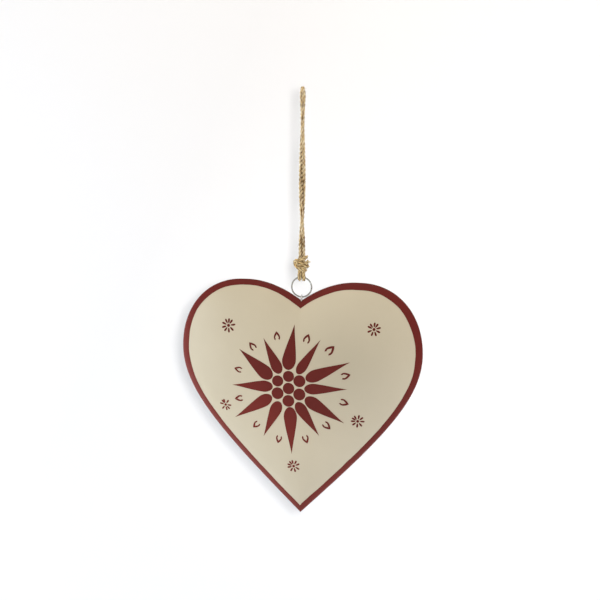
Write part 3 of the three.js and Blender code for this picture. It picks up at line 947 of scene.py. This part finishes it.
seam = bpy.data.objects["seam_solder"]
seam.data.materials.clear()
seam.data.materials.append(solder)


# The camera, at the photograph's angle
camera_place = Vector((0.1935, -1.1362, 0.056))
view_turn = radians(9.73)
view_drop = radians(11.11)
view_roll = radians(0.3)
sensor = 36.0
focal_pixels = 1437
frame_pixels = 600
lens = bpy.data.cameras.new("camera")
lens.sensor_width = sensor
lens.lens = sensor * focal_pixels / frame_pixels
camera = put("camera", lens)
camera.matrix_world = (Matrix.Translation(camera_place)
                       @ Matrix.Rotation(view_turn, 4, "Z")
                       @ Matrix.Rotation(pi / 2 - view_drop, 4, "X")
                       @ Matrix.Rotation(view_roll, 4, "Z"))
scene.camera = camera


# The studio: a pale floor, a white backdrop, soft light from both sides and a lamp by the lens

def soft_light(name, azimuth, elevation, distance, wide, tall, power, tint, shines):
    """A soft light aimed at the heart; azimuth 0 is in front and positive to the right."""
    light = bpy.data.lights.new(name, "AREA")
    light.shape = "RECTANGLE"
    light.size = wide
    light.size_y = tall
    light.energy = power
    light.color = colour(tint)[:3]
    lamp = put(name, light)
    out = cos(radians(elevation))
    lamp.location = crown + distance * Vector((
        out * sin(radians(azimuth)), -out * cos(radians(azimuth)), sin(radians(elevation))))
    lamp.rotation_euler = (crown - lamp.location).to_track_quat("-Z", "Y").to_euler()
    lamp.visible_glossy = shines


plain = "#ffffff"
cool = "#eaf0ff"
fresh = "#e9f5ff"
warm = "#fff8e6"
# Azimuth, elevation, distance, width, height, watts, tint, and whether it shows in a gloss
soft_light("left_window", -45, -5, 1.2, 0.6, 0.8, 2.3, fresh, True)
soft_light("low_card", -8, -55, 1.0, 1.5, 0.5, 4.2, fresh, True)
soft_light("rear_window", 168, 20, 1.4, 1.2, 1.2, 20, plain, True)
soft_light("right_card", 102, -24, 1.3, 0.8, 1.0, 17, cool, False)
soft_light("left_side", -95, -10, 1.2, 0.8, 1.0, 27, fresh, False)
soft_light("high_window", 5, 75, 0.9, 0.8, 0.8, 4.6, warm, False)
beside_lens = Vector((0.03, 0.014, 0))
lens_light = bpy.data.lights.new("lens_lamp", "POINT")
lens_light.shadow_soft_size = 0.027
lens_light.energy = 33
lens_lamp = put("lens_lamp", lens_light)
lens_lamp.location = camera.matrix_world @ beside_lens
lens_lamp.visible_glossy = False


def seen_rays(add):
    """1 for rays from the camera, from reflections and through glass, and 0 for other light."""
    rays = add("ShaderNodeLightPath").outputs
    mirrored = add("ShaderNodeMath", (rays["Is Glossy Ray"], rays["Is Transmission Ray"]),
                   operation="MAXIMUM")
    return add("ShaderNodeMath", (rays["Is Camera Ray"], mirrored), operation="MAXIMUM")


def stage_sheet(name, corners, tint, lift, slope):
    """A white sheet for the camera and for reflections, with a little light of its own, one-sided."""
    # The sheet's own light grows along the slope, where the lamps reach it least.
    material, add = blank_material(name + "_matt_white")
    white = add("ShaderNodeBsdfDiffuse", {"Color": colour(tint)})
    place = add("ShaderNodeTexCoord").outputs["Object"]
    along = add("ShaderNodeVectorMath", (place, slope), operation="DOT_PRODUCT")
    own_level = add("ShaderNodeMath", (along, lift), use_clamp=True)
    own = add("ShaderNodeEmission", {"Strength": own_level})
    bright = add("ShaderNodeAddShader", (white, own))
    clear = add("ShaderNodeBsdfTransparent")
    back = add("ShaderNodeNewGeometry").outputs["Backfacing"]
    front = add("ShaderNodeMath", (1.0, back), operation="SUBTRACT")
    shown = add("ShaderNodeMath", (front, seen_rays(add)), operation="MULTIPLY")
    seen = add("ShaderNodeMixShader", (shown, clear, bright))
    add("ShaderNodeOutputMaterial", {"Surface": seen})
    mesh = bpy.data.meshes.new(name)
    mesh.from_pydata(corners, [], [(0, 1, 2, 3)])
    mesh.materials.append(material)
    put(name, mesh)


wall_behind = 0.26
wall_half = 0.9
wall_top = 0.7
floor_level = -0.62
floor_half = 1.6
wall_corners = ((-wall_half, floor_level), (wall_half, floor_level),
                (wall_half, wall_top), (-wall_half, wall_top))
stage_sheet("backdrop", [(x, wall_behind, z) for x, z in wall_corners],
            tint="#ece8e7", lift=0.045, slope=(0.4, 0.0, -0.2))
floor_corners = ((-1, -1), (1, -1), (1, 1), (-1, 1))
stage_sheet("floor", [(floor_half * x, floor_half * y, floor_level) for x, y in floor_corners],
            tint="#eeeeee", lift=0.65, slope=(0.0, 0.0, 0.0))

# The world is white where it is seen and only a faint fill light elsewhere.
fill_light = 0.1
world = bpy.data.worlds.new("white_studio")
world.use_nodes = True
world.node_tree.nodes.clear()
add = partial(node, world.node_tree)
level = add("ShaderNodeMapRange", {"Value": seen_rays(add), "To Min": fill_light, "To Max": 1.0})
sky = add("ShaderNodeBackground", {"Color": colour(plain), "Strength": level})
add("ShaderNodeOutputWorld", {"Surface": sky})
scene.world = world
